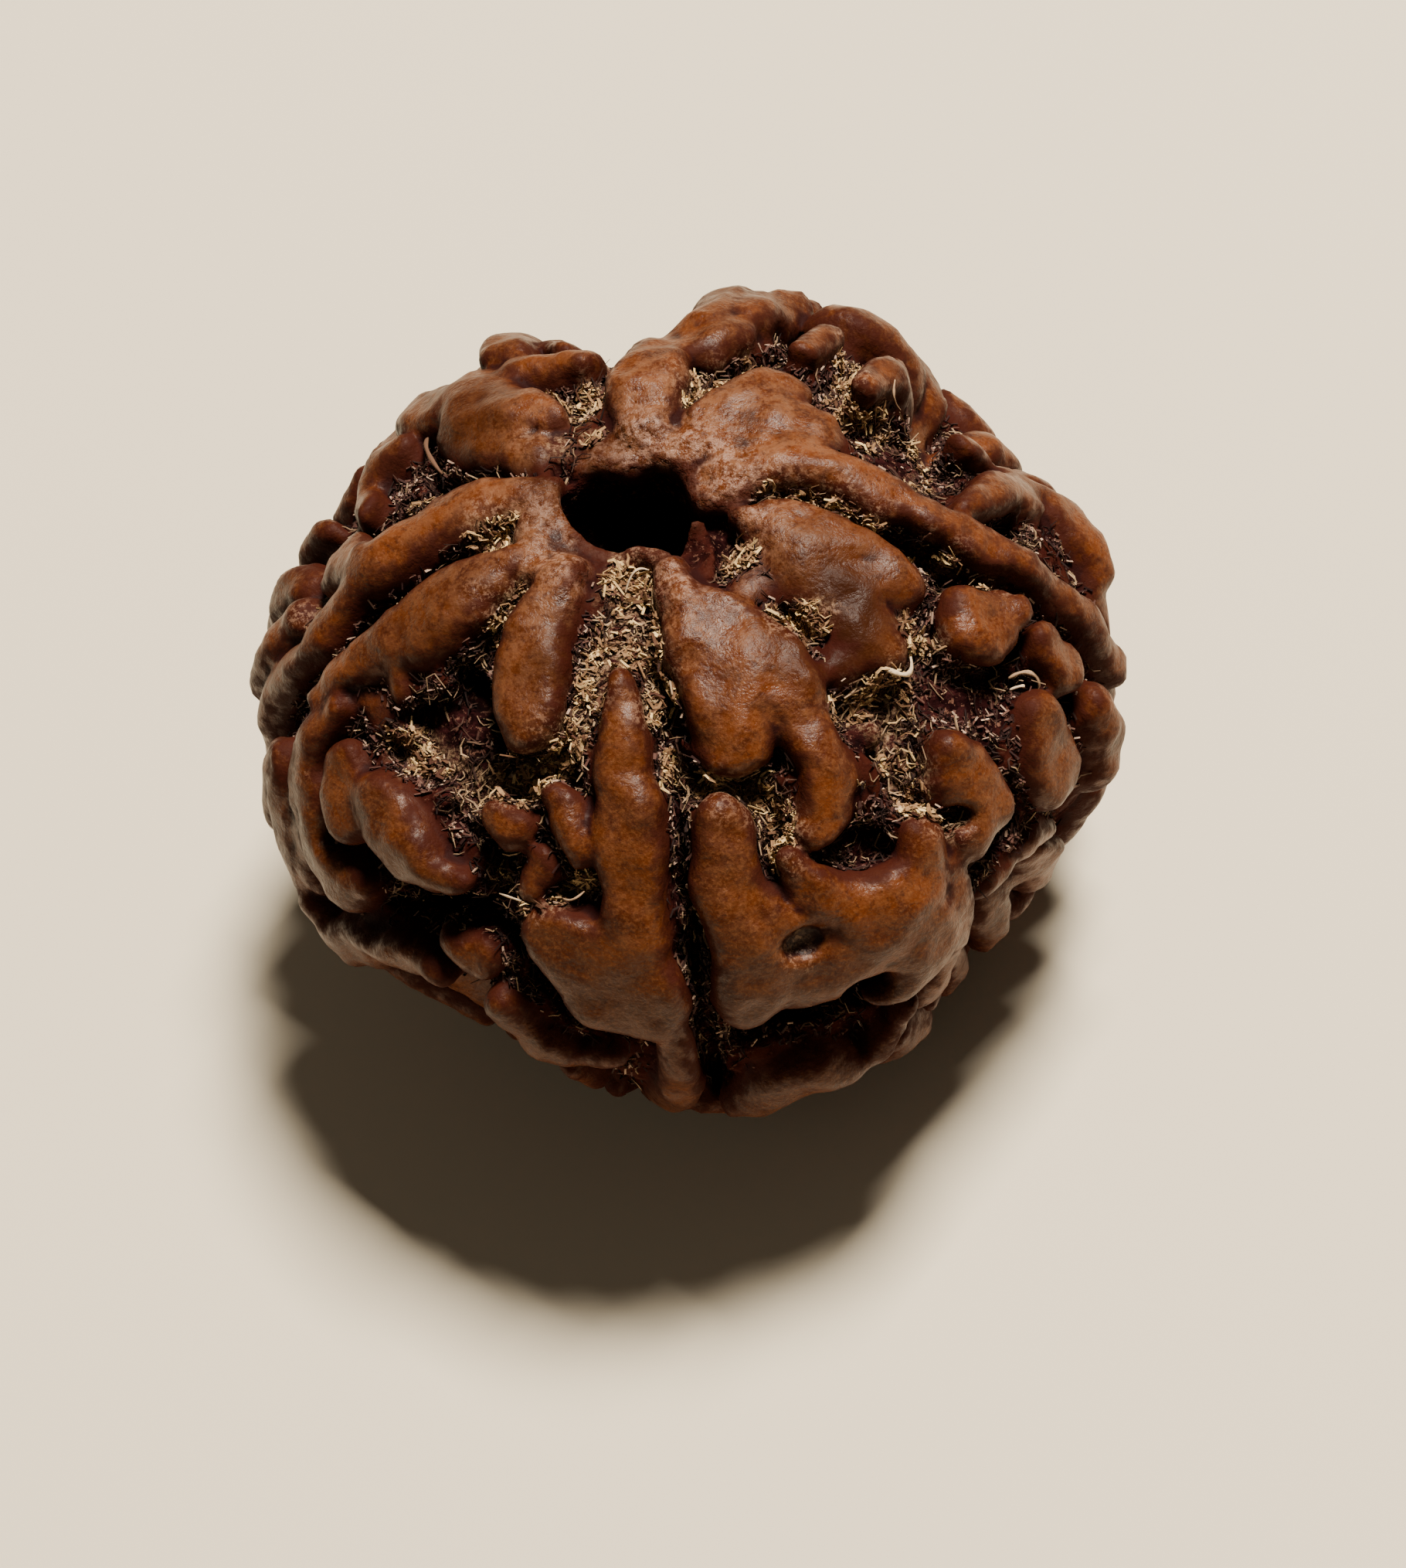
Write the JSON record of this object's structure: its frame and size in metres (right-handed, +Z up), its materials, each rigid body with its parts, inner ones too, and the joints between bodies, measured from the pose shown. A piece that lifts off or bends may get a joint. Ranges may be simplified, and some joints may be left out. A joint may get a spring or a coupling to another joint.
{
  "type": "rudraksha seed",
  "caption": "Dried rudraksha stone, slightly flattened, with deep wrinkled lobes, creases from mouth to mouth, and a natural bore along its axis.",
  "frame": {"origin": "centre of the footprint, on the surface that the stone stands on", "axes": "+Z up along the bore, towards the mouth that the picture shows; -Y towards the picture's camera"},
  "size_m": [0.0238, 0.0237, 0.018],
  "materials": {
    "stone": "hard woody shell with a waxy satin sheen, orange-brown on the lobes and dark purple-brown in the valleys, where pale dry fibres cling"
  },
  "bodies": {
    "root": {"seed": "stone"}
  },
  "joints": []
}
